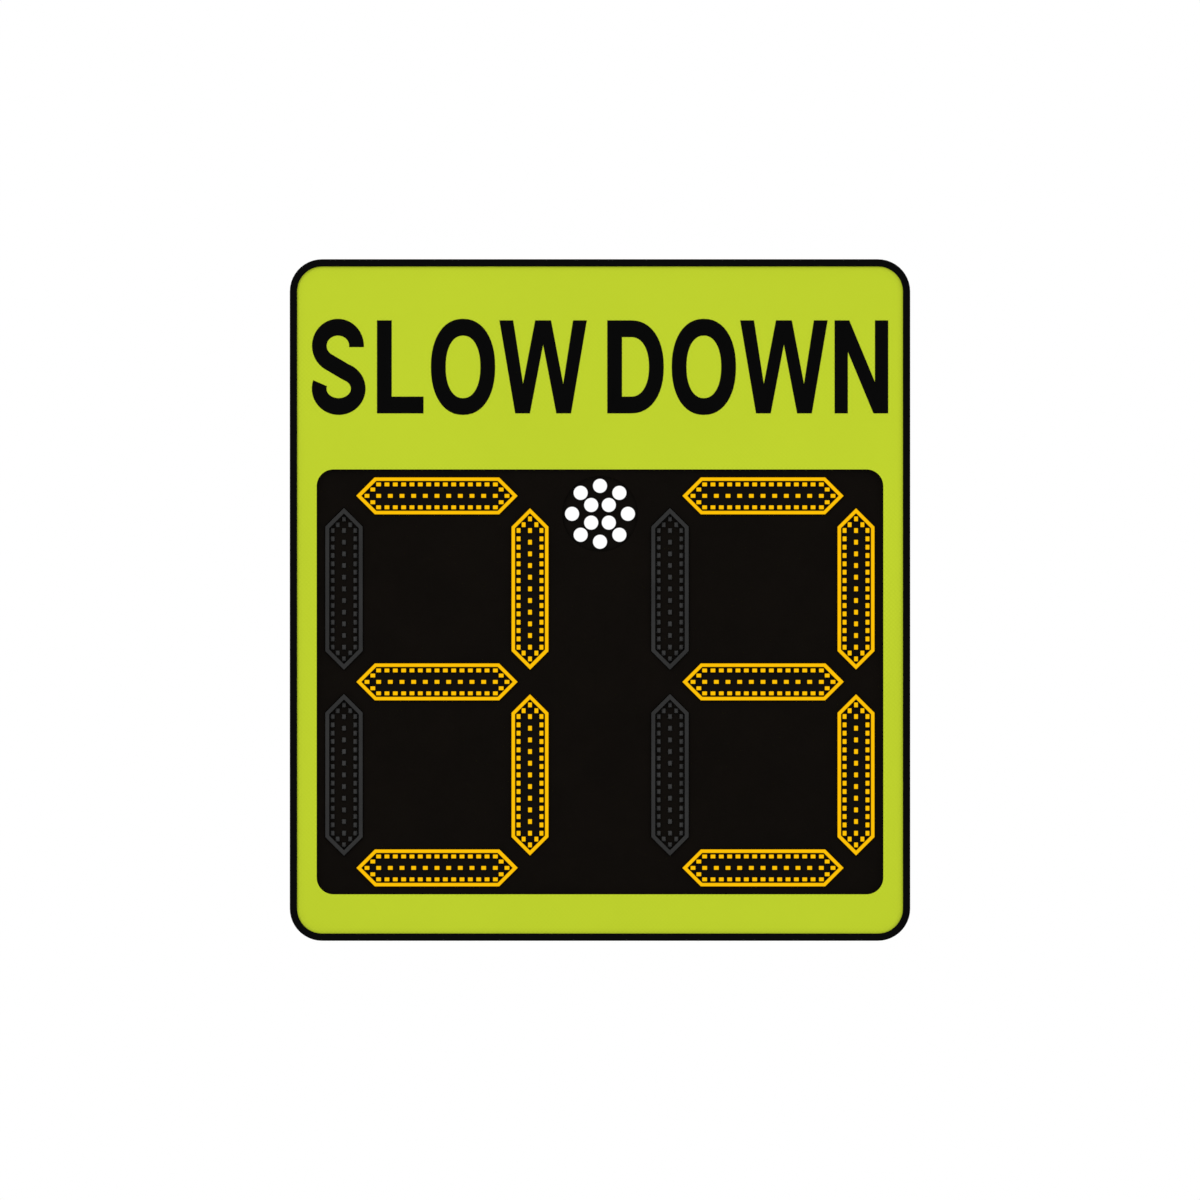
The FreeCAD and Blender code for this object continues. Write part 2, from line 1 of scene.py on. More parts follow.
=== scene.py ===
"""Looks of the radar speed sign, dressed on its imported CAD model. Metres, in the model's own frame."""

import math

import bmesh
import bpy
from mathutils import Matrix, Vector


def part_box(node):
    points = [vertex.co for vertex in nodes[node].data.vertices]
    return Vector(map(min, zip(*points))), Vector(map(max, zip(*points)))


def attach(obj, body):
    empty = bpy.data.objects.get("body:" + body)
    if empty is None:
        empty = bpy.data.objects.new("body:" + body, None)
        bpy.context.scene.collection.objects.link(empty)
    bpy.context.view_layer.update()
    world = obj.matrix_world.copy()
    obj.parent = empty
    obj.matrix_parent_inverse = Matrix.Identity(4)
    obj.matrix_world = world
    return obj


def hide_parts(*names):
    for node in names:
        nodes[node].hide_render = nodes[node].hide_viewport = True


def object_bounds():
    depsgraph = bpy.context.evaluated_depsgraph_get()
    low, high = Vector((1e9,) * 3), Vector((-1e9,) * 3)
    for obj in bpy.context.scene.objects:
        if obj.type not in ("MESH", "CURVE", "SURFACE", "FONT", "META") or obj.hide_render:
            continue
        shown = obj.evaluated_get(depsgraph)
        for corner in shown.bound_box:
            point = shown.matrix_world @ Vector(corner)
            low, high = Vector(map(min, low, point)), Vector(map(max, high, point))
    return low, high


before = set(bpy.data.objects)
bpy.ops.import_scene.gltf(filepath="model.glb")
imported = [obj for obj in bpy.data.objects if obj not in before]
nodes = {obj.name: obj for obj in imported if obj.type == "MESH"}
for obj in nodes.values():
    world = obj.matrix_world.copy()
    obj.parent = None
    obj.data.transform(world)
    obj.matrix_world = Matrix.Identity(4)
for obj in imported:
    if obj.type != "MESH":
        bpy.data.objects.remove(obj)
cad_low, cad_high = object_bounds()

MM = 0.001
same_point = 0.002 * MM  # distance at which two points count as one
FRONT = Vector((0, -1, 0))
REAR = Vector((0, 1, 0))
DOWN = Vector((0, 0, -1))
UP = Vector((0, 0, 1))
both_ways = (1, -1)

# Camera: the photograph is a flat front view, with the sign in its middle
view_width = 1.116
camera_distance = 3.0

# Studio
floor_gap = 0.29  # the sign hangs this far above the floor
floor_size = 40.0
ambient = 0.82  # strength of the surroundings as a light
lamp_size = 1.6
lamps = {  # place and power
    "key": ((-1.6, -2.4, 1.8), 22.0),
    "fill": ((2.2, -1.6, 0.4), 8.0),
    "back": ((0.6, 2.4, 1.6), 18.0),
}

# Legend: a line of block capitals on the upper part of the face
legend_words = "SLOW DOWN"
legend_height = 86.5 * MM  # of a flat-topped capital
legend_width = 536.0 * MM
legend_middle_z = 216.8 * MM
legend_thickness = 0.25 * MM
legend_lift = 0.4 * legend_thickness  # of its middle, so that its back is just inside the face

# Capitals, in units that are scaled to the legend's height and width
capital = 716.0
stem = 158.0  # width of an upright stroke
bar = 129.0  # height of a level stroke
overshoot = 12.0  # of a round letter past the flat ones
squareness = 2.2  # power of the curves of O and D, which is 2 for an ellipse
word_gap = 145.0

# Digits
lit_places = ("top", "upper_right", "lower_right", "bottom", "middle")
dark_places = ("lower_left", "upper_left")
digit_sides = ("left", "right")

# Fixings
rail_screw_radius = 5.5 * MM
rail_screw_from_end = 26.0 * MM
rail_screw_from_edge = 11.0 * MM
panel_nut_radius = 4.0 * MM
panel_nut_from_edge = 5.0 * MM
panel_nut_shares = (-0.66, 0.0, 0.66)  # of the half width
board_screw_radius = 3.0 * MM
terminal_poles = 8
terminal_screw_radius = 3.2 * MM
terminal_screw_rise = 8.6 * MM
entry_screw_inset = 4.6 * MM
strap_screw_radius = 4.0 * MM
strap_screw_from_end = 10.5 * MM
weld_radius = 1.6 * MM

# Sizes of the CAD model that its boxes don't show
rail_sheet = 2.5 * MM
strap_sheet = 1.5 * MM
hinge_block_length = 30.0 * MM
battery_terminal = 7.0 * MM
fin_height = 14.0 * MM

# Chips on the boards: length, width and height, legs on a side, and sides with legs
driver_chip = ((15.4 * MM, 7.5 * MM, 2.4 * MM), 12, 2)
processor_chip = ((20.0 * MM, 20.0 * MM, 1.6 * MM), 25, 4)
memory_chip = ((12.0 * MM, 8.0 * MM, 1.4 * MM), 9, 2)
leg_pitch = 1.0 * MM
resistor = (3.2 * MM, 1.6 * MM, 0.6 * MM)


# Colours

def srgb(*values):
    """Linear colour from three 0 to 255 display values."""
    shares = [value / 255 for value in values]
    return (*(s / 12.92 if s <= 0.04045 else ((s + 0.055) / 1.055) ** 2.4 for s in shares), 1.0)


def shade(colour, share):
    """Colour made darker or lighter by a share."""
    return tuple(min(1.0, channel * share) for channel in colour[:3]) + (1.0,)


# Shader nodes

def set_inputs(node, inputs):
    """Sets a node's inputs to values, or joins them to other nodes' outputs."""
    for name, value in inputs.items():
        if isinstance(value, bpy.types.NodeSocket):
            node.id_data.links.new(value, node.inputs[name])
        else:
            node.inputs[name].default_value = value


def add_node(near, kind, inputs=None, **settings):
    """Shader node of a kind, such as TexNoise, in the tree of another node or a socket."""
    node = near.id_data.nodes.new("ShaderNode" + kind)
    for name, value in settings.items():
        setattr(node, name, value)
    set_inputs(node, inputs or {})
    return node


def math_node(operation, first, second):
    """Output of a math node on an output and a number or another output."""
    return add_node(first, "Math", {0: first, 1: second}, operation=operation).outputs[0]


def feed(shader, **inputs):
    """Sets or joins a shader's inputs, named with underscores for spaces."""
    set_inputs(shader, {name.replace("_", " "): value for name, value in inputs.items()})


def new_material(name, **inputs):
    """Material, its Principled shader, and object coordinates for textures."""
    material = bpy.data.materials.new(name)
    material.use_nodes = True
    shader = material.node_tree.nodes["Principled BSDF"]
    feed(shader, **inputs)
    return material, shader, add_node(shader, "TexCoord").outputs["Object"]


def split_axes(vector):
    """Outputs X, Y and Z of a vector."""
    return add_node(vector, "SeparateXYZ", {"Vector": vector}).outputs


def noise(vector, scale, detail=3.0):
    """Noise, with scale in features per metre."""
    inputs = {"Vector": vector, "Scale": scale, "Detail": detail}
    return add_node(vector, "TexNoise", inputs).outputs["Fac"]


def patches(vector, scale, **settings):
    """Random number for each cell of a Voronoi pattern, with scale in cells per metre."""
    inputs = {"Vector": vector, "Scale": scale}
    colour = add_node(vector, "TexVoronoi", inputs, **settings).outputs["Color"]
    return add_node(vector, "SeparateColor", {"Color": colour}).outputs["Red"]


def ramp(factor, low, high, start=0.35, end=0.65):
    """Colour that runs from low to high as the factor goes from start to end."""
    node = add_node(factor, "ValToRGB", {"Fac": factor})
    first, last = node.color_ramp.elements
    first.position, first.color = start, low
    last.position, last.color = end, high
    return node.outputs["Color"]


def drift(factor, colour, darker, lighter, **limits):
    """Colour that runs from a darker to a lighter shade of itself."""
    return ramp(factor, shade(colour, darker), shade(colour, lighter), **limits)


def spread(factor, low, high, start=0.3, end=0.7):
    """Number that runs from low to high as the factor goes from start to end."""
    inputs = {"Value": factor, "From Min": start, "From Max": end, "To Min": low, "To Max": high}
    return add_node(factor, "MapRange", inputs).outputs["Result"]


def facing_front(shader, side, front, start=0.5, end=0.6):
    """Number that is front on what faces the road, and side on the rest of a piece."""
    normal = split_axes(add_node(shader, "TexCoord").outputs["Normal"])
    return spread(normal["Y"], side, front, -start, -end)


def mixed_colour(factor, first, second):
    """Colour between two, each a colour or another node's output."""
    inputs = {"Factor": factor, 6: first, 7: second}
    return add_node(factor, "Mix", inputs, data_type="RGBA").outputs[2]


def bump(shader, height, depth, strength):
    """Relief of the given depth in metres on a shader's normal."""
    inputs = {"Height": height, "Distance": depth, "Strength": strength}
    feed(shader, Normal=add_node(shader, "Bump", inputs).outputs["Normal"])


# Materials

def powder_coat(name, colour, specular, grain):
    """Baked coat on sheet metal: orange peel, faint clouds of colour and an uneven sheen."""
    cloud_scale, sheen_scale = 5.0, 400.0
    material, shader, place = new_material(name, Specular_IOR_Level=specular)
    tint = drift(noise(place, cloud_scale), colour, 0.95, 1.06)
    feed(shader, Base_Color=tint, Roughness=spread(noise(place, sheen_scale), 0.48, 0.58))
    bump(shader, noise(place, grain), 0.08 * MM, 0.5)
    return material


def reflective_sheet():
    """Prismatic sign film on the front, with a diamond lattice; bare metal on edges and back."""
    film, seam, metal = srgb(189, 207, 40), srgb(178, 197, 30), srgb(168, 170, 172)
    cells_per_metre, weather_scale = 240.0, 5.0
    material, shader, place = new_material("reflective_sheet", Roughness=0.42, Specular_IOR_Level=0.12)
    axes = split_axes(place)
    waves = []
    for operation in ("ADD", "SUBTRACT"):
        diagonal = math_node(operation, axes["X"], axes["Z"])
        waves.append(math_node("PINGPONG", math_node("MULTIPLY", diagonal, cells_per_metre), 0.5))
    cell = math_node("MINIMUM", *waves)
    lattice = ramp(cell, seam, film, 0.03, 0.1)
    inputs = {0: lattice, "Scale": spread(noise(place, weather_scale), 0.98, 1.02)}
    weathered = add_node(place, "VectorMath", inputs, operation="SCALE").outputs["Vector"]
    tint = mixed_colour(facing_front(shader, 0.0, 1.0), metal, weathered)
    feed(shader, Base_Color=tint, Metallic=facing_front(shader, 1.0, 0.0))
    bump(shader, spread(cell, 0.0, 1.0, 0.02, 0.12), 0.05 * MM, 0.25)
    return material


def moulded_plastic(name, colour, roughness, specular=0.4, grain=900.0):
    """Moulded plastic with a spark-eroded grain and a little colour drift."""
    drift_scale, gloss_scale, gloss_drift = 25.0, 120.0, 0.06
    material, shader, place = new_material(name, Specular_IOR_Level=specular)
    tint = drift(noise(place, drift_scale), colour, 0.9, 1.1)
    gloss = spread(noise(place, gloss_scale), roughness - gloss_drift, roughness + gloss_drift)
    feed(shader, Base_Color=tint, Roughness=gloss)
    bump(shader, noise(place, grain), 0.05 * MM, 0.4)
    return material


def lit_guide(name, colour, body_colour):
    """Light guide lit from below, with a bright flat top and dimmer bevels and sides."""
    flow_scale, side_glow = 90.0, 0.16
    material, shader, place = new_material(
        name, Roughness=0.35, Specular_IOR_Level=0.03, Emission_Color=colour
    )
    flow = noise(place, flow_scale)
    top = facing_front(shader, side_glow, 1.0, 0.86, 0.995)
    glow = math_node("MULTIPLY", top, spread(flow, 0.96, 1.0))
    feed(shader, Base_Color=drift(flow, body_colour, 0.8, 1.2), Emission_Strength=glow)
    return material


def lamp_lens(name, colour, body_colour, rim):
    """Lens of a lit LED: full brightness over the chip, dimmer towards the rim."""
    haze_scale = 300.0
    material, shader, place = new_material(
        name, Roughness=0.25, Specular_IOR_Level=0.03, Emission_Color=colour
    )
    tint = drift(noise(place, haze_scale), body_colour, 0.7, 1.0)
    glow = add_node(shader, "Attribute", attribute_name="glow").outputs["Fac"]
    feed(shader, Base_Color=tint, Emission_Strength=spread(glow, rim, 1.0, 0.0, 1.0))
    return material


def rolled_metal(name, colour, roughness, grain_axis):
    """Rolled sheet with fine grain along one axis."""
    across_grain, along_grain, gloss_drift = 2600.0, 16.0, 0.05
    scale = [across_grain, across_grain, across_grain]
    scale[grain_axis] = along_grain
    material, shader, place = new_material(name, Metallic=1.0)
    stretched = add_node(place, "Mapping", {"Vector": place, "Scale": scale})
    grain = noise(stretched.outputs["Vector"], 1.0)
    gloss = spread(grain, roughness - gloss_drift, roughness + gloss_drift)
    feed(shader, Base_Color=drift(grain, colour, 0.95, 1.04), Roughness=gloss)
    bump(shader, grain, 0.01 * MM, 0.3)
    return material


def galvanised(name, colour):
    """Hot-dip zinc with its spangle."""
    spangle_scale, skin_scale = 130.0, 260.0
    material, shader, place = new_material(name, Metallic=1.0)
    spangle = patches(place, spangle_scale)
    tint = drift(spangle, colour, 0.84, 1.06, start=0.0, end=1.0)
    feed(shader, Base_Color=tint, Roughness=spread(spangle, 0.4, 0.56, 0.0, 1.0))
    bump(shader, noise(place, skin_scale), 0.03 * MM, 0.4)
    return material


def rubber(name, colour):
    """Closed-cell rubber with a fine skin."""
    skin_scale, skin_detail = 700.0, 5.0
    material, shader, place = new_material(name, Specular_IOR_Level=0.25)
    skin = noise(place, skin_scale, skin_detail)
    feed(shader, Base_Color=drift(skin, colour, 0.7, 1.4), Roughness=spread(skin, 0.75, 0.92))
    bump(shader, skin, 0.1 * MM, 0.6)
    return material


def track_lines(along, across):
    """Copper tracks that run along one axis with slanted jogs, as a number up to 1."""
    pitch, jog_run, jog, track_share = 3.0 * MM, 34.0 * MM, 6.0 * MM, 0.22
    wave = math_node("PINGPONG", along, jog_run)
    slant = spread(wave, 0.0, jog, jog_run / 2 - jog / 2, jog_run / 2 + jog / 2)
    lane = math_node("PINGPONG", math_node("ADD", across, slant), pitch / 2)
    return spread(lane, 1.0, 0.0, 0.7 * track_share * pitch, track_share * pitch)


def circuit_board(name, mask, track, front, specular):
    """Solder mask over copper tracks and vias, and plain on the front if a colour is given."""
    patch_scale, via_scale, via_reach = 34.0, 90.0, 0.14
    level_below, upright_above = 0.45, 0.6
    material, shader, place = new_material(name, Roughness=0.45, Specular_IOR_Level=specular)
    axes = split_axes(place)
    flat = add_node(place, "CombineXYZ", {"X": axes["X"], "Y": axes["Z"]}).outputs["Vector"]
    choice = patches(flat, patch_scale, distance="CHEBYCHEV")
    level = math_node("LESS_THAN", choice, level_below)
    level = math_node("MULTIPLY", track_lines(axes["X"], axes["Z"]), level)
    upright = math_node("GREATER_THAN", choice, upright_above)
    upright = math_node("MULTIPLY", track_lines(axes["Z"], axes["X"]), upright)
    centre = add_node(flat, "TexVoronoi", {"Vector": flat, "Scale": via_scale}).outputs["Distance"]
    via = spread(centre, 1.0, 0.0, 0.8 * via_reach, via_reach)
    copper = math_node("MAXIMUM", math_node("MAXIMUM", level, upright), via)
    face = ramp(copper, mask, track, 0.3, 0.7)
    if front:
        face = mixed_colour(facing_front(shader, 0.0, 1.0), face, front)
    feed(shader, Base_Color=face)
    bump(shader, copper, 0.03 * MM, 0.4)
    return material


def floor_paint():
    """Pale matt floor with a trace of unevenness."""
    darker, lighter, tone_scale = (0.89, 0.89, 0.89, 1.0), (0.9, 0.9, 0.9, 1.0), 40.0
    material, shader, place = new_material("floor", Roughness=0.85, Specular_IOR_Level=0.1)
    feed(shader, Base_Color=ramp(noise(place, tone_scale), darker, lighter))
    return material


white = (1.0, 1.0, 1.0, 1.0)
lens_grey = (0.12, 0.12, 0.12, 1.0)
amber = srgb(254, 193, 0)
amber_body = (0.02, 0.008, 0.0, 1.0)
window_black = (0.0031, 0.0021, 0.0013, 1.0)
board_black = (0.0042, 0.003, 0.002, 1.0)
deep_black = (0.0006, 0.0006, 0.0006, 1.0)
door_black = (0.01, 0.01, 0.0105, 1.0)
tub_black = (0.014, 0.014, 0.015, 1.0)
rubber_black = (0.012, 0.012, 0.012, 1.0)

retainer_coat = powder_coat("retainer_coat", deep_black, 0.035, 1100.0)
door_coat = powder_coat("door_coat", door_black, 0.3, 900.0)
tub_coat = powder_coat("tub_coat", tub_black, 0.4, 600.0)
face_film = reflective_sheet()
legend_film = moulded_plastic("legend_film", deep_black, 0.45, 0.03, 1500.0)
window_panel = moulded_plastic("window_panel", window_black, 0.6, 0.03)
guide_lit = lit_guide("guide_lit", amber, amber_body)
guide_dark = moulded_plastic("guide_dark", srgb(45, 45, 45), 0.4, 0.06)
led_lit = lamp_lens("led_lit", amber, amber_body, 0.16)
led_dark = moulded_plastic("led_dark", srgb(54, 54, 54), 0.35, 0.06)
strobe_lit = lamp_lens("strobe_lit", white, lens_grey, 0.1)
led_board = circuit_board("led_board", srgb(30, 31, 33), srgb(40, 41, 42), board_black, 0.03)
green_board = circuit_board("green_board", srgb(14, 66, 38), srgb(24, 92, 54), None, 0.3)
aluminium = rolled_metal("rolled_aluminium", srgb(196, 198, 200), 0.38, 0)
stainless = rolled_metal("drawn_stainless", srgb(176, 176, 178), 0.34, 2)
zinc = galvanised("galvanised_steel", srgb(182, 186, 190))
seal_rubber = rubber("seal_rubber", rubber_black)
grey_plastic = moulded_plastic("grey_plastic", srgb(118, 121, 124), 0.5)
pale_plastic = moulded_plastic("pale_plastic", srgb(206, 204, 196), 0.45)
green_plastic = moulded_plastic("green_plastic", srgb(38, 122, 74), 0.45)
dark_plastic = moulded_plastic("dark_plastic", srgb(44, 45, 48), 0.5)
red_plastic = moulded_plastic("red_plastic", srgb(168, 36, 30), 0.45)
chip_plastic = moulded_plastic("chip_plastic", srgb(24, 24, 26), 0.45)
tinned = rolled_metal("tinned_metal", srgb(200, 200, 202), 0.3, 1)


# Shapes

def blank_shapes(count):
    """Empty bmeshes to fill."""
    return [bmesh.new() for _ in range(count)]


def new_object(name, data):
    """Object in the scene."""
    thing = bpy.data.objects.new(name, data)
    bpy.context.scene.collection.objects.link(thing)
    return thing


def add_piece(name, shape, material, body, slot, *replaced):
    """Piece from a filled bmesh, on a CAD body and in place of any CAD nodes named."""
    smooth_below = math.radians(38)
    bmesh.ops.recalc_face_normals(shape, faces=shape.faces)
    mesh = bpy.data.meshes.new(name)
    shape.to_mesh(mesh)
    shape.free()
    mesh.shade_smooth()
    mesh.set_sharp_from_angle(angle=smooth_below)
    mesh.materials.append(material)
    piece = new_object(name, mesh)
    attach(piece, body)
    if replaced:
        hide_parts(*replaced)


def looking(origin, outward, upward=UP):
    """Matrix at an origin whose third axis points outward and whose second points upward."""
    across = upward.cross(outward)
    place = Matrix((across, upward, outward)).transposed().to_4x4()
    place.translation = origin
    return place


def at_level(low, high, y, outward, across=0.0, up=0.0):
    """Place at a given y over the middle of a box, off it by two distances."""
    return looking(((low.x + high.x) / 2 + across, y, (low.z + high.z) / 2 + up), outward)


def on_front(low, high, across=0.0, up=0.0):
    """Place on the front of a box, off its middle by two distances."""
    return at_level(low, high, low.y, FRONT, across, up)


def on_rear(low, high, across=0.0, up=0.0):
    """Place on the rear of a box, off its middle by two distances."""
    return at_level(low, high, high.y, REAR, across, up)


def row(count, step):
    """Places along a row, about its middle."""
    return [(index - (count - 1) / 2) * step for index in range(count)]


def circle(radius, count=24):
    """Points of a circle."""
    turns = [2 * math.pi * index / count for index in range(count)]
    return [(radius * math.cos(turn), radius * math.sin(turn)) for turn in turns]


def hexagon(radius, count=24):
    """Points along a hexagon, as many as a circle has."""
    points = []
    for index in range(count):
        turn = 2 * math.pi * index / count
        reach = radius * math.cos(math.pi / 6) / math.cos((turn % (math.pi / 3)) - math.pi / 6)
        points.append((reach * math.cos(turn), reach * math.sin(turn)))
    return points


def chamfered(half_u, half_v, corner):
    """Points of a rectangle with cut corners."""
    u, v = half_u - corner, half_v - corner
    return [
        (half_u, v), (u, half_v), (-u, half_v), (-half_u, v),
        (-half_u, -v), (-u, -half_v), (u, -half_v), (half_u, -v),
    ]


def add_stack(shape, place, rings, closed=False, glow=()):
    """Skin over outlines stacked at heights, capped at each end or closed from last to first."""
    made = []
    for outline, height in rings:
        made.append([shape.verts.new(place @ Vector((u, v, height))) for u, v in outline])
    if glow:
        layer = shape.verts.layers.float.get("glow")
        for ring, value in zip(made, glow):
            for vertex in ring:
                vertex[layer] = value
    if closed:
        made.append(made[0])
    for lower, upper in zip(made, made[1:]):
        for index, corner in enumerate(lower):
            shape.faces.new((lower[index - 1], corner, upper[index], upper[index - 1]))
    if not closed:
        shape.faces.new(reversed(made[0]))
        shape.faces.new(made[-1])


def add_turned(shape, place, radius, height, profile):
    """Turned shape. Its rows are an outline and its shares of the radius and the height."""
    rings = [(outline(share * radius), rise * height) for outline, share, rise in profile]
    add_stack(shape, place, rings)


def add_screw(shape, place, radius):
    """Button-head screw with a hexagon socket."""
    profile = (
        (circle, 1.0, -0.1), (circle, 1.0, 0.3), (circle, 0.93, 0.65), (circle, 0.74, 0.93),
        (circle, 0.56, 1.0), (hexagon, 0.42, 1.0), (hexagon, 0.42, 0.35),
    )
    add_turned(shape, place, radius, 0.55 * radius, profile)


def add_nut(shape, place, radius):
    """Hexagon nut on a washer, with the end of its stud."""
    profile = (
        (circle, 1.25, 0.0), (circle, 1.25, 0.15), (hexagon, 1.0, 0.15), (hexagon, 1.0, 1.0),
        (circle, 0.82, 1.15), (circle, 0.5, 1.15), (circle, 0.5, 1.6), (circle, 0.38, 1.75),
    )
    add_turned(shape, place, radius, 0.8 * radius, profile)


def add_can(shape, place, radius, height):
    """Electrolytic capacitor with its crimp and the dished top of its can."""
    profile = (
        (circle, 0.92, 0.0), (circle, 1.0, 0.05), (circle, 1.0, 0.14), (circle, 0.92, 0.18),
        (circle, 1.0, 0.22), (circle, 1.0, 0.96), (circle, 0.9, 1.0), (circle, 0.78, 0.97),
    )
    add_turned(shape, place, radius, height, profile)


def add_package(shape, place, length, width, height):
    """Moulded block that stands on its place, with cut corners and a chamfered top."""
    edge = 0.08 * min(length, width, height)
    outline = chamfered(length / 2, width / 2, edge)
    top = chamfered(length / 2 - edge, width / 2 - edge, edge)
    add_stack(shape, place, [(outline, 0.0), (outline, height - edge), (top, height)])


def add_chip(chips, legs, place, size, count, sides):
    """Package with a row of legs along each of two or four sides."""
    length, width, height = size
    leg = (0.35 * leg_pitch, 1.3 * leg_pitch, 0.4 * height)
    add_package(chips, place, *size)
    for side in range(sides):
        turn = Matrix.Rotation(side * 2 * math.pi / sides, 4, "Z")
        for along in row(count, length / (count + 1)):
            foot = place @ turn @ Matrix.Translation((along, width / 2 + leg_pitch / 2, 0))
            add_package(legs, foot, *leg)


def add_header(plastic, metal, place, length, width, height, pins):
    """Shrouded pin header: an open box with a row of pins in it."""
    wall, floor = 0.14 * width, 0.25 * height
    outside = chamfered(length / 2, width / 2, 0.3 * wall)
    inside = chamfered(length / 2 - wall, width / 2 - wall, 0.3 * wall)
    add_stack(plastic, place, [(outside, 0.0), (outside, height), (inside, height), (inside, floor)])
    step = (length - 2 * wall) / pins
    for along in row(pins, step):
        foot = place @ Matrix.Translation((along, 0, floor))
        add_package(metal, foot, 0.2 * step, 0.2 * step, 0.55 * height)


def add_bead(shape, start, end, radius):
    """Weld bead with its ripples between two points."""
    pitch, fewest, points = 0.8 * radius, 4, 10
    run = end - start
    ripples = max(fewest, round(run.length / pitch))
    outward = run.normalized()
    upward = outward.orthogonal().normalized()
    rings = []
    for index in range(2 * ripples + 1):
        swell = 1.0 if index % 2 else 0.86
        taper = 0.5 if index in (0, 2 * ripples) else 1.0
        rings.append((circle(radius * swell * taper, points), run.length * index / (2 * ripples)))
    add_stack(shape, looking(start, outward, upward), rings)


# CAD nodes

def dress(node_names, material, edge=0.0):
    """Gives CAD nodes a material, and rounds their edges by a small width in metres."""
    for name in node_names:
        node = nodes[name]
        node.data.materials.clear()
        node.data.materials.append(material)
        if edge:
            soften(node, edge)


def soften(node, width):
    """Rounds the sharp edges of a CAD node with modifiers, inside its own outline."""
    flat_below, sharp_above = math.radians(0.5), math.radians(40)
    weld = node.modifiers.new("join_faces", "WELD")
    weld.merge_threshold = same_point
    flatten = node.modifiers.new("join_triangles", "DECIMATE")
    flatten.decimate_type = "DISSOLVE"
    flatten.angle_limit = flat_below
    bevel = node.modifiers.new("edges", "BEVEL")
    bevel.width = width
    bevel.segments = 3
    bevel.limit_method = "ANGLE"
    bevel.angle_limit = sharp_above
    bevel.harden_normals = True


def solids_of(node_name):
    """Lowest and highest corner of each separate solid in a CAD node."""
    mesh = nodes[node_name].data
    group = {}

    def root(key):
        while group[key] != key:
            group[key] = group[group[key]]
            key = group[key]
        return key

    keys = [tuple(round(part / (same_point / 2)) for part in vertex.co) for vertex in mesh.vertices]
    for key in keys:
        group.setdefault(key, key)
    for polygon in mesh.polygons:
        first, *others = (keys[index] for index in polygon.vertices)
        for other in others:
            group[root(other)] = root(first)
    members = {}
    for key, vertex in zip(keys, mesh.vertices):
        members.setdefault(root(key), []).append(vertex.co)
    return [
        (Vector(map(min, zip(*points))), Vector(map(max, zip(*points)))) for points in members.values()
    ]


# Legend

def bowed(centre, radii, start, end, steps, power=2.0):
    """Points on an arc of an ellipse, or of a squarer curve if power is above 2. Angles in degrees."""
    points = []
    for index in range(steps + 1):
        turn = math.radians(start + (end - start) * index / steps)
        across, up = math.cos(turn), math.sin(turn)
        points.append((
            centre[0] + radii[0] * math.copysign(abs(across) ** (2 / power), across),
            centre[1] + radii[1] * math.copysign(abs(up) ** (2 / power), up),
        ))
    return points


def stroke(spine):
    """Outline of a stroke along points, a stem wide where upright and a bar high where level."""
    left, right = [], []
    for before, point, after in zip(spine[:1] + spine, spine, spine[1:] + spine[-1:]):
        run = Vector((after[0] - before[0], after[1] - before[1])).normalized()
        across, up = -run.y * stem / 2, run.x * bar / 2
        left.append((point[0] + across, point[1] + up))
        right.append((point[0] - across, point[1] - up))
    return left + right[::-1]


def capital_s():
    """Width and outlines of an S, whose spine is two arcs: start, end and steps."""
    width = 667.0
    upper_middle, upper_reach, upper_arc = (322.0, 520.0), 200.0, (-4, 236, 30)
    lower_middle, lower_reach, lower_arc = (330.0, 190.0), 210.0, (68, -198, 34)
    upper_rise = capital + overshoot - bar / 2 - upper_middle[1]
    lower_rise = lower_middle[1] + overshoot - bar / 2
    spine = bowed(upper_middle, (upper_reach, upper_rise), *upper_arc)
    spine += bowed(lower_middle, (lower_reach, lower_rise), *lower_arc)
    return width, [stroke(spine)]


def capital_l():
    """Width and outlines of an L."""
    width, left, right = 611.0, 75.0, 575.0
    inner = left + stem
    outline = [(left, 0), (left, capital), (inner, capital), (inner, bar), (right, bar), (right, 0)]
    return width, [outline]


def capital_o():
    """Width and outlines of an O."""
    width, reach, arc = 778.0, 345.0, (0, 360, 48)
    middle = (width / 2, capital / 2)
    outer = (reach, capital / 2 + overshoot)
    inner = (outer[0] - stem, outer[1] - bar)
    return width, [bowed(middle, radii, *arc, squareness)[:-1] for radii in (outer, inner)]


def capital_w():
    """Width and outlines of a W."""
    width, crotch, valley = 944.0, 530.0, 226.0
    half = [(85, capital), (216, valley), (322, capital), (470, capital), (300, 0), (142, 0)]
    outline = half + [(0, crotch)] + [(-across, up) for across, up in reversed(half)]
    return width, [[(width / 2 + across, up) for across, up in outline]]


def capital_d():
    """Width and outlines of a D."""
    width, left, right, bowl, arc = 722.0, 73.0, 680.0, 330.0, (90, -90, 24)
    middle = capital / 2
    outlines = []
    for inset_x, inset_y in ((0.0, 0.0), (stem, bar)):
        radii = (right - bowl - inset_x, middle - inset_y)
        straight = [(left + inset_x, inset_y), (left + inset_x, capital - inset_y)]
        outlines.append(straight + bowed((bowl, middle), radii, *arc, squareness))
    return width, outlines


def capital_n():
    """Width and outlines of an N, whose second half is the first one turned round."""
    width, left, right, notch = 722.0, 73.0, 649.0, 475.0
    upright = 0.9 * stem
    half = [(left, 0), (left, capital), (left + stem, capital), (right - upright, capital - notch)]
    half.append((right - upright, capital))
    return width, [half + [(left + right - across, capital - up) for across, up in half]]


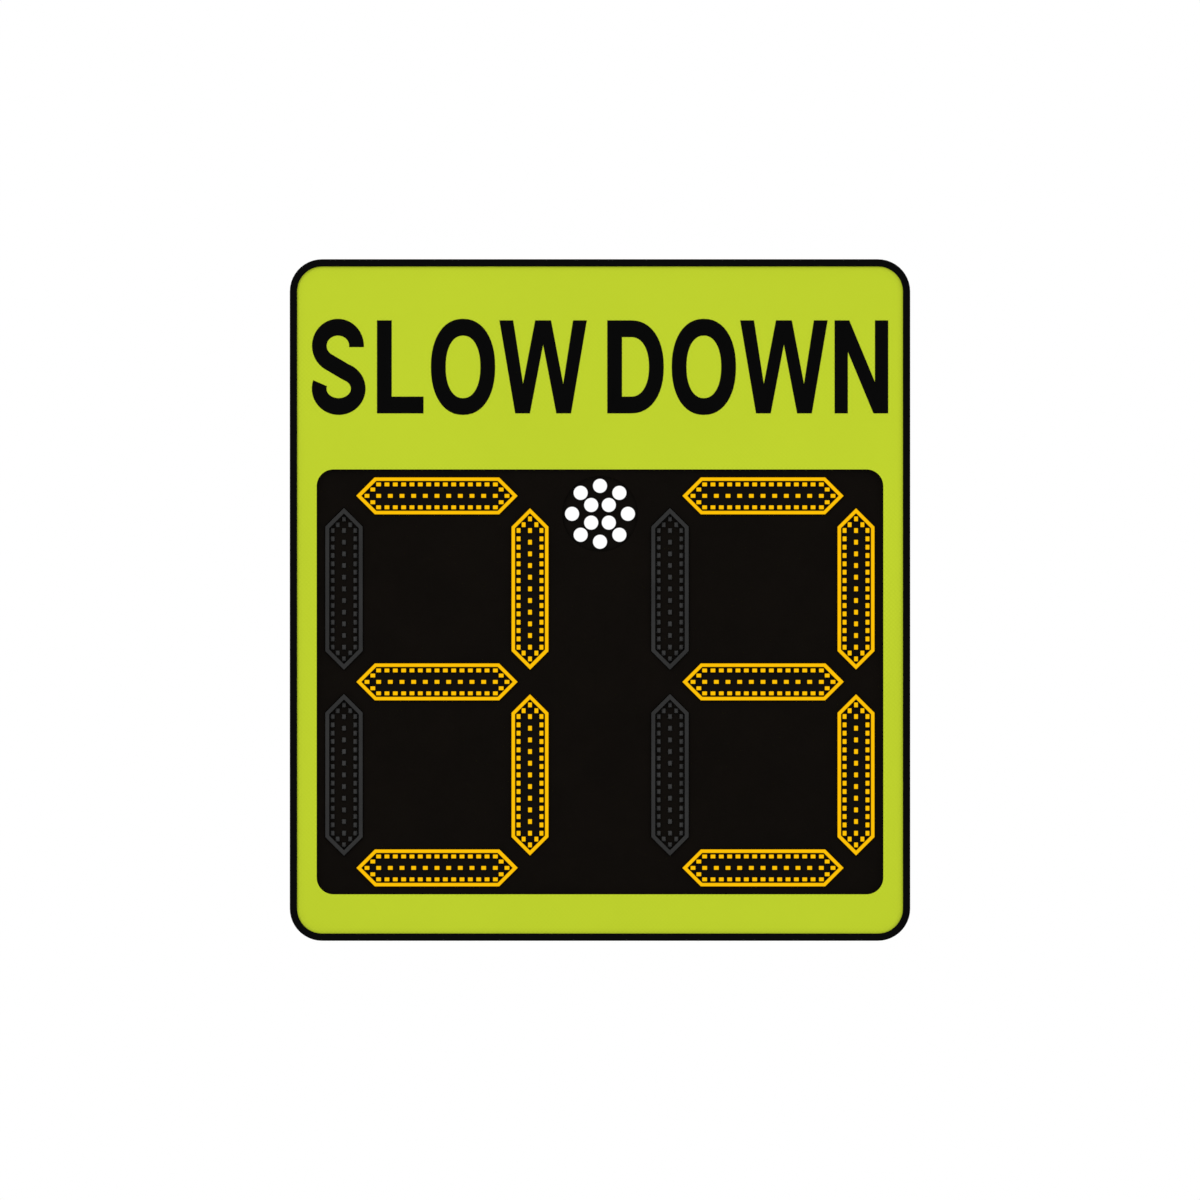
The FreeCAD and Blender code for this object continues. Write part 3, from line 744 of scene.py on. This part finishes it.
def legend_outlines():
    """Outlines of the legend's capitals, set in a line."""
    drawings = {
        "S": capital_s, "L": capital_l, "O": capital_o, "W": capital_w, "D": capital_d, "N": capital_n,
    }
    outlines, cursor = [], 0.0
    for letter in legend_words:
        if letter == " ":
            cursor += word_gap
            continue
        width, shapes = drawings[letter]()
        outlines += [[(cursor + across, up) for across, up in outline] for outline in shapes]
        cursor += width
    return outlines


def legend_curve(outlines):
    """Filled curve of the outlines, at the legend's size and about its middle."""
    reaches = [across for outline in outlines for across, _ in outline]
    left, right = min(reaches), max(reaches)
    curve = bpy.data.curves.new("legend_outline", "CURVE")
    curve.dimensions = "2D"
    curve.fill_mode = "BOTH"
    curve.extrude = legend_thickness / 2
    for outline in outlines:
        spline = curve.splines.new("POLY")
        spline.points.add(len(outline) - 1)
        spline.use_cyclic_u = True
        for point, (across, up) in zip(spline.points, outline):
            x = (across - (left + right) / 2) / (right - left) * legend_width
            point.co = (x, (up / capital - 0.5) * legend_height, 0.0, 1.0)
    return curve


def make_legend():
    """Line of capitals cut from black film, on the face."""
    writer = new_object("legend_outline", legend_curve(legend_outlines()))
    bpy.context.view_layer.update()
    graph = bpy.context.evaluated_depsgraph_get()
    filled = bpy.data.meshes.new_from_object(writer.evaluated_get(graph))
    bpy.data.objects.remove(writer)
    face_low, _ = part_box("face_panel")
    filled.transform(looking((0, face_low.y - legend_lift, legend_middle_z), FRONT))
    shape = bmesh.new()
    shape.from_mesh(filled)
    bpy.data.meshes.remove(filled)
    bmesh.ops.remove_doubles(shape, verts=shape.verts, dist=same_point)
    add_piece("legend", shape, legend_film, "door", "black_coat")


# Display

def make_lenses(name, node_name, outline, steps, material, slot):
    """Lenses that fill a CAD node's solids. Steps: shares of the width and the height, and glow."""
    shape = bmesh.new()
    shape.verts.layers.float.new("glow")
    glow = [value for _, _, value in steps]
    for low, high in solids_of(node_name):
        half_u, half_v, height = (high.x - low.x) / 2, (high.z - low.z) / 2, high.y - low.y
        rings = [(outline(half_u * share, half_v * share), height * rise) for share, rise, _ in steps]
        add_stack(shape, at_level(low, high, high.y, FRONT), rings, glow=glow)
    add_piece(name, shape, material, "door", slot, node_name)


def make_leds():
    """Squared LED lenses with softly crowned tops."""
    steps = ((1.0, 0.0, 0.0), (1.0, 0.6, 0.0), (0.88, 0.82, 1.0), (0.7, 0.94, 1.0), (0.35, 1.0, 1.0))

    def outline(half_u, half_v):
        return chamfered(half_u, half_v, 0.16 * min(half_u, half_v))

    for side in digit_sides:
        make_lenses(f"{side}_lit_lenses", f"{side}_lit_leds", outline, steps, led_lit, "lit_amber")
        make_lenses(f"{side}_dark_lenses", f"{side}_dark_leds", outline, steps, led_dark, "dark_lens")


def make_strobe():
    """Round domed lenses of the strobe."""
    points = 40
    steps = (
        (1.0, 0.0, 0.0), (1.0, 0.5, 0.0), (0.98, 0.62, 0.4), (0.9, 0.78, 1.0),
        (0.72, 0.9, 1.0), (0.42, 0.97, 1.0), (0.12, 1.0, 1.0),
    )

    def outline(half_u, half_v):
        return circle(half_u, points)

    make_lenses("strobe_domes", "strobe_lenses", outline, steps, strobe_lit, "white_lens")


def dress_display():
    """Materials of the face, window and light guides."""
    dress(["face_panel"], face_film)
    dress(["face_retainer"], retainer_coat, 0.5 * MM)
    dress(["display_panel"], window_panel, 0.3 * MM)
    dress(["left_digit_board", "right_digit_board", "strobe_board"], led_board)
    dress(["face_tape", "display_seal"], seal_rubber)
    for side in digit_sides:
        dress([f"{side}_{place}_light_guide" for place in lit_places], guide_lit, 0.5 * MM)
        dress([f"{side}_{place}_light_guide" for place in dark_places], guide_dark, 0.5 * MM)


def add_driver(chips, legs, seat):
    """Driver chip with its legs, and a row of resistors beside it."""
    count, step, gap = 8, 2.4 * MM, 9.0 * MM
    add_chip(chips, legs, seat, *driver_chip)
    upright = Matrix.Rotation(math.pi / 2, 4, "Z")
    for along in row(count, step):
        add_package(chips, seat @ Matrix.Translation((along, gap, 0)) @ upright, *resistor)


def add_supply(sockets, pins, cans, seat):
    """Socket of a digit board, with two capacitors below it."""
    socket = (30.0 * MM, 8.6 * MM, 9.0 * MM, 8)
    can_radius, can_height, can_step, can_drop = 5.0 * MM, 12.5 * MM, 13.0 * MM, 12.0 * MM
    add_header(sockets, pins, seat, *socket)
    for sign in both_ways:
        spot = Matrix.Translation((sign * can_step, -can_drop, 0))
        add_can(cans, seat @ spot, can_radius, can_height)


def make_digit_electronics():
    """A driver behind each segment, and the sockets and capacitors of each digit board."""
    for side in digit_sides:
        chips, legs, sockets, cans = blank_shapes(4)
        low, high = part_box(f"{side}_digit_board")
        for place_name in lit_places + dark_places:
            guide_low, guide_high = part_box(f"{side}_{place_name}_light_guide")
            upright = guide_high.z - guide_low.z > guide_high.x - guide_low.x
            turn = Matrix.Rotation(math.pi / 2 if upright else 0.0, 4, "Z")
            add_driver(chips, legs, at_level(guide_low, guide_high, high.y, REAR) @ turn)
        for sign in both_ways:
            add_supply(sockets, legs, cans, on_rear(low, high, 0.0, sign * (high.z - low.z) / 4))
        add_piece(f"{side}_driver_chips", chips, chip_plastic, "door", "radar_case")
        add_piece(f"{side}_driver_legs", legs, tinned, "door", "bare_aluminium")
        add_piece(f"{side}_sockets", sockets, pale_plastic, "door", "grey_plastic")
        add_piece(f"{side}_capacitors", cans, aluminium, "door", "bare_aluminium")


def make_strobe_driver():
    """Power driver with a small finned cooler, and its socket, behind the strobe."""
    cooler, fin_count, fin = (34.0 * MM, 34.0 * MM, 3.0 * MM), 7, (1.4 * MM, 34.0 * MM, 9.0 * MM)
    socket, socket_drop = (14.0 * MM, 7.0 * MM, 8.0 * MM, 4), 30.0 * MM
    low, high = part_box("strobe_board")
    fins, sockets, pins = blank_shapes(3)
    seat = on_rear(low, high)
    add_package(fins, seat, *cooler)
    for along in row(fin_count, (cooler[0] - fin[0]) / (fin_count - 1)):
        add_package(fins, seat @ Matrix.Translation((along, 0, 0.8 * cooler[2])), *fin)
    add_header(sockets, pins, on_rear(low, high, 0.0, -socket_drop), *socket)
    add_piece("strobe_cooler", fins, aluminium, "door", "bare_aluminium")
    add_piece("strobe_socket", sockets, pale_plastic, "door", "grey_plastic")
    add_piece("strobe_pins", pins, tinned, "door", "bare_aluminium")


def make_radar_details():
    """Ribs, screws and socket on the rear of the radar module."""
    rib_count, rib = 5, (58.0 * MM, 2.0 * MM, 1.6 * MM)
    rib_step, rib_rise, screw_inset = 7.0 * MM, 15.0 * MM, 7.0 * MM
    socket, socket_drop = (20.0 * MM, 9.0 * MM, 8.0 * MM, 6), 26.0 * MM
    low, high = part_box("radar_module")
    half_x, half_z = (high.x - low.x) / 2 - screw_inset, (high.z - low.z) / 2 - screw_inset
    ribs, screws, pins = blank_shapes(3)
    for up in row(rib_count, rib_step):
        add_package(ribs, on_rear(low, high, 0.0, rib_rise + up), *rib)
    add_header(ribs, pins, on_rear(low, high, 0.0, -socket_drop), *socket)
    for across in both_ways:
        for up in both_ways:
            add_screw(screws, on_rear(low, high, across * half_x, up * half_z), board_screw_radius)
    add_piece("radar_ribs", ribs, dark_plastic, "door", "radar_case")
    add_piece("radar_screws", screws, zinc, "door", "galvanised_steel")
    add_piece("radar_pins", pins, tinned, "door", "bare_aluminium")


def make_panel_nuts():
    """Nuts on the studs along the display panel's upper and lower edges."""
    shape = bmesh.new()
    low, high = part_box("display_panel")
    half_x = (high.x - low.x) / 2 - panel_nut_from_edge
    half_z = (high.z - low.z) / 2 - panel_nut_from_edge
    for share in panel_nut_shares:
        for up in both_ways:
            add_nut(shape, on_rear(low, high, share * half_x, up * half_z), panel_nut_radius)
    add_piece("panel_nuts", shape, zinc, "door", "galvanised_steel")


# Cabinet

def dress_cabinet():
    """Materials of the tub, door, rails, hinges and what is inside."""
    dress(["rear_tub"], tub_coat, 0.8 * MM)
    dress(["door_frame"], door_coat, 0.8 * MM)
    dress(["tub_lug", "door_lug"], tub_coat, 0.5 * MM)
    dress(["upper_mount_rail", "lower_mount_rail"], zinc, 0.8 * MM)
    dress(["hinge_tub_halves", "hinge_door_halves"], stainless, 0.6 * MM)
    dress(["entry_frame"], grey_plastic, 1.5 * MM)
    dress(["entry_grommet"], seal_rubber, 1.0 * MM)
    dress(["equipment_plate"], aluminium, 0.4 * MM)
    dress(["plate_standoffs", "controller_spacers", "battery_strap"], zinc)
    dress(["controller_board", "radar_antenna"], green_board)
    dress(["charge_regulator"], aluminium, 0.6 * MM)
    dress(["terminal_block"], grey_plastic, 0.6 * MM)
    dress(["battery", "radar_module"], dark_plastic, 2.0 * MM)


def make_gasket():
    """Bulb seal with a soft crown, in place of the plain strip on the tub's flange."""
    low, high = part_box("door_gasket")
    strip = high.x - min(abs(vertex.co.x) for vertex in nodes["door_gasket"].data.vertices)
    half_x, half_z = (high.x - low.x - strip) / 2, (high.z - low.z - strip) / 2
    depth = high.y - low.y
    profile = [(-0.5, 0.0), (-0.5, 0.45), (-0.42, 0.75), (-0.22, 0.95), (0.0, 1.0)]
    profile += [(-across, rise) for across, rise in reversed(profile[:-1])]

    def rectangle(grow):
        x, z = half_x + grow, half_z + grow
        return [(x, z), (-x, z), (-x, -z), (x, -z)]

    shape = bmesh.new()
    rings = [(rectangle(across * strip), rise * depth) for across, rise in profile]
    add_stack(shape, at_level(low, high, high.y, FRONT), rings, closed=True)
    add_piece("door_seal", shape, seal_rubber, "cabinet", "rubber", "door_gasket")


def make_rail_screws():
    """Screws through the feet of the mounting rails."""
    shape = bmesh.new()
    for rail in ("upper_mount_rail", "lower_mount_rail"):
        low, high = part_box(rail)
        for x in (low.x + rail_screw_from_end, 0.0, high.x - rail_screw_from_end):
            for z in (low.z + rail_screw_from_edge, high.z - rail_screw_from_edge):
                add_screw(shape, looking((x, low.y + rail_sheet, z), REAR), rail_screw_radius)
    add_piece("rail_screws", shape, stainless, "cabinet", "hinge_steel")


def make_welds():
    """Weld beads where the hinge blocks and the padlock lug meet the tub's side."""
    hinges, lug = blank_shapes(2)
    tub_low, tub_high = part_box("rear_tub")
    for low, high in solids_of("hinge_tub_halves"):
        start = Vector((tub_low.x, high.y, low.z))
        add_bead(hinges, start, start + hinge_block_length * UP, weld_radius)
    low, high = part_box("tub_lug")
    for z in (low.z, high.z):
        add_bead(lug, Vector((tub_high.x, low.y, z)), Vector((tub_high.x, high.y, z)), weld_radius)
    add_piece("hinge_welds", hinges, tub_coat, "cabinet", "tub_paint")
    add_piece("lug_welds", lug, tub_coat, "cabinet", "tub_paint")


def make_entry_details():
    """Screws in the cable entry's frame, and the pierceable membranes of its grommet."""
    columns, rows, membrane = 4, 2, 4.4 * MM
    profile = (
        (circle, 1.0, -0.1), (circle, 1.0, 0.15), (circle, 0.8, 0.3),
        (circle, 0.5, 0.75), (circle, 0.2, 0.85),
    )
    screws, domes = blank_shapes(2)
    low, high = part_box("entry_frame")
    for x in (low.x + entry_screw_inset, high.x - entry_screw_inset):
        for y in (low.y + entry_screw_inset, high.y - entry_screw_inset):
            add_screw(screws, looking((x, y, low.z), DOWN, REAR), board_screw_radius)
    low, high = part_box("entry_grommet")
    for column in range(columns):
        for row in range(rows):
            x = low.x + (column + 0.5) * (high.x - low.x) / columns
            y = low.y + (row + 0.5) * (high.y - low.y) / rows
            add_turned(domes, looking((x, y, low.z), DOWN, REAR), membrane, membrane, profile)
    add_piece("entry_screws", screws, stainless, "cabinet", "hinge_steel")
    add_piece("entry_membranes", domes, seal_rubber, "cabinet", "rubber")


def make_breather():
    """Breather plug under the tub, opposite the cable entry."""
    radius, height = 9.0 * MM, 12.0 * MM
    profile = (
        (circle, 1.15, -0.02), (circle, 1.15, 0.1), (hexagon, 1.1, 0.1), (hexagon, 1.1, 0.42),
        (circle, 0.8, 0.45), (circle, 0.8, 0.55), (circle, 1.0, 0.58), (circle, 1.0, 0.85),
        (circle, 0.86, 0.97), (circle, 0.4, 1.0),
    )
    low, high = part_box("entry_frame")
    tub_low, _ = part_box("rear_tub")
    shape = bmesh.new()
    seat = looking((-(low.x + high.x) / 2, (low.y + high.y) / 2, tub_low.z), DOWN, REAR)
    add_turned(shape, seat, radius, height, profile)
    add_piece("breather_plug", shape, grey_plastic, "cabinet", "grey_plastic")


def make_plate_screws():
    """Screws over the standoffs and spacers, in the terminals and on the battery strap."""
    carriers = {"plate_standoffs": "equipment_plate", "controller_spacers": "controller_board"}
    shape = bmesh.new()
    for posts, carried in carriers.items():
        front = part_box(carried)[0].y
        for low, high in solids_of(posts):
            add_screw(shape, at_level(low, high, front, FRONT), board_screw_radius)
    low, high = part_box("terminal_block")
    for across in row(terminal_poles, (high.x - low.x) / terminal_poles):
        for up in both_ways:
            place = on_front(low, high, across, up * terminal_screw_rise)
            add_screw(shape, place, terminal_screw_radius)
    low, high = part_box("battery_strap")
    for x in (low.x + strap_screw_from_end, high.x - strap_screw_from_end):
        foot = (x, high.y - strap_sheet, (low.z + high.z) / 2)
        add_screw(shape, looking(foot, FRONT), strap_screw_radius)
    add_piece("plate_screws", shape, zinc, "cabinet", "galvanised_steel")


def add_controller_sockets(sockets, pins, low, high):
    """Row of sockets along the controller board's lower edge."""
    socket, count, step, inset = (24.0 * MM, 10.0 * MM, 11.0 * MM, 5), 5, 29.0 * MM, 9.0 * MM
    for across in row(count, step):
        seat = on_front(low, high, across, -(high.z - low.z) / 2 + inset)
        add_header(sockets, pins, seat, *socket)


def make_controller():
    """Parts on the controller board. Places are millimetres across and up from its middle."""
    radio, relay = (34.0 * MM, 24.0 * MM, 3.2 * MM), (19.0 * MM, 15.0 * MM, 15.0 * MM)
    can_radius, can_height = 6.5 * MM, 16.0 * MM
    processor_place, radio_place = (-18, 8), (-52, 40)
    memory_places, relay_places = ((14, 18), (14, 2)), ((36, 34), (60, 34))
    can_places = ((34, -8), (51, -8), (68, -8))
    resistor_start, resistor_step, resistor_count, resistor_rows = -40, 4.2, 10, (-16, 34)
    low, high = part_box("controller_board")
    chips, legs, sockets, cans = blank_shapes(4)

    def seat(across, up):
        return on_front(low, high, across * MM, up * MM)

    add_chip(chips, legs, seat(*processor_place), *processor_chip)
    for place in memory_places:
        add_chip(chips, legs, seat(*place), *memory_chip)
    add_package(cans, seat(*radio_place), *radio)
    for place in relay_places:
        add_package(chips, seat(*place), *relay)
    for place in can_places:
        add_can(cans, seat(*place), can_radius, can_height)
    for index in range(resistor_count):
        for up in resistor_rows:
            add_package(chips, seat(resistor_start + resistor_step * index, up), *resistor)
    add_controller_sockets(sockets, legs, low, high)
    add_piece("controller_chips", chips, chip_plastic, "cabinet", "radar_case")
    add_piece("controller_legs", legs, tinned, "cabinet", "bare_aluminium")
    add_piece("controller_sockets", sockets, green_plastic, "cabinet", "circuit_board")
    add_piece("controller_cans", cans, aluminium, "cabinet", "bare_aluminium")


def make_regulator_details():
    """Sockets under the charge regulator, and the screws of its base between the fins."""
    socket, socket_depth = (26.0 * MM, 9.0 * MM, 9.0 * MM, 4), 12.0 * MM
    socket_places = (-38.0 * MM, 0.0, 38.0 * MM)
    screw_inset_x, screw_inset_z = 12.0 * MM, 9.0 * MM
    low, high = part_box("charge_regulator")
    base_front = low.y + fin_height
    sockets, pins, screws = blank_shapes(3)
    for across in socket_places:
        spot = ((low.x + high.x) / 2 + across, high.y - socket_depth, low.z)
        add_header(sockets, pins, looking(spot, DOWN, REAR), *socket)
    for x in (low.x + screw_inset_x, high.x - screw_inset_x):
        for z in (low.z + screw_inset_z, high.z - screw_inset_z):
            add_screw(screws, looking((x, base_front, z), FRONT), board_screw_radius)
    add_piece("regulator_sockets", sockets, chip_plastic, "cabinet", "radar_case")
    add_piece("regulator_pins", pins, tinned, "cabinet", "bare_aluminium")
    add_piece("regulator_screws", screws, zinc, "cabinet", "galvanised_steel")


def make_battery_cover(low, high):
    """Raised cover over the battery's cells, set back from its terminals."""
    inset, height = 16.0 * MM, 1.6 * MM
    y = (low.y + high.y) / 2 + inset / 3
    cover = bmesh.new()
    seat = looking(((low.x + high.x) / 2, y, high.z - battery_terminal), UP, REAR)
    add_package(cover, seat, high.x - low.x - 2 * inset, high.y - low.y - 2 * inset, height)
    add_piece("battery_cover", cover, dark_plastic, "cabinet", "battery_case")


def make_battery_terminals(high):
    """Collars round the battery's terminals, and the bolts in them."""
    collar, collar_height, bolt_radius = 3.2 * MM, 1.4 * MM, 2.6 * MM
    half = battery_terminal / 2
    posts = [vertex.co for vertex in nodes["battery"].data.vertices if vertex.co.z > high.z - half]
    across = [post.x for post in posts]
    front = min(post.y for post in posts)
    inside, outside = (chamfered(half + grow, half + grow, collar / 2) for grow in (0.0, collar))
    rings = [(outside, 0.0), (outside, collar_height), (inside, collar_height), (inside, 0.0)]
    poles = {
        "negative": (min(across) + half, chip_plastic),
        "positive": (max(across) - half, red_plastic),
    }
    bolts = bmesh.new()
    for pole, (x, plastic) in poles.items():
        ring = bmesh.new()
        seat = looking((x, front + half, high.z - battery_terminal), UP, REAR)
        add_stack(ring, seat, rings, closed=True)
        add_piece(f"{pole}_collar", ring, plastic, "cabinet", "battery_case")
        add_screw(bolts, looking((x, front, high.z - half), FRONT), bolt_radius)
    add_piece("battery_bolts", bolts, tinned, "cabinet", "bare_aluminium")


def make_battery_top():
    """Everything on top of the battery."""
    low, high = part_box("battery")
    make_battery_cover(low, high)
    make_battery_terminals(high)


# Studio

def make_stage():
    """Pale floor under the sign."""
    shape = bmesh.new()
    bmesh.ops.create_grid(shape, x_segments=1, y_segments=1, size=floor_size / 2)
    mesh = bpy.data.meshes.new("floor")
    shape.to_mesh(mesh)
    shape.free()
    mesh.materials.append(floor_paint())
    floor = new_object("floor", mesh)
    floor.location.z = cad_low.z - floor_gap


def make_world():
    """White surroundings to the eye and in reflections, softer as a light."""
    world = bpy.data.worlds.new("studio")
    bpy.context.scene.world = world
    world.use_nodes = True
    tree = world.node_tree
    rays = add_node(tree, "LightPath").outputs
    seen = math_node("MAXIMUM", rays["Is Camera Ray"], rays["Is Glossy Ray"])
    seen = math_node("MAXIMUM", seen, rays["Is Transmission Ray"])
    light = tree.nodes["Background"]
    set_inputs(light, {"Color": white, "Strength": ambient})
    backdrop = add_node(tree, "Background", {"Color": white, "Strength": 1.0})
    mixed = add_node(tree, "MixShader", {0: seen, 1: light.outputs[0], 2: backdrop.outputs[0]})
    set_inputs(tree.nodes["World Output"], {"Surface": mixed.outputs[0]})


def make_lamp(name, place, power):
    """Soft square lamp that looks at the middle of the sign."""
    lamp = bpy.data.lights.new(name, "AREA")
    lamp.shape = "SQUARE"
    lamp.size = lamp_size
    lamp.energy = power
    holder = new_object(name, lamp)
    holder.location = place
    holder.rotation_euler = (-Vector(place)).to_track_quat("-Z", "Y").to_euler()


def make_camera():
    """Parallel view straight at the front."""
    lens = bpy.data.cameras.new("front")
    lens.type = "ORTHO"
    lens.ortho_scale = view_width
    camera = new_object("front", lens)
    camera.location = (0, -camera_distance, (cad_low.z + cad_high.z) / 2)
    camera.rotation_euler = (math.radians(90), 0, 0)
    bpy.context.scene.camera = camera


dress_display()
make_legend()
make_leds()
make_strobe()
make_digit_electronics()
make_strobe_driver()
make_radar_details()
make_panel_nuts()
dress_cabinet()
make_gasket()
make_rail_screws()
make_welds()
make_entry_details()
make_breather()
make_plate_screws()
make_controller()
make_regulator_details()
make_battery_top()
make_stage()
make_world()
for lamp_name, settings in lamps.items():
    make_lamp(lamp_name, *settings)
make_camera()
bpy.context.scene.view_settings.view_transform = "Standard"
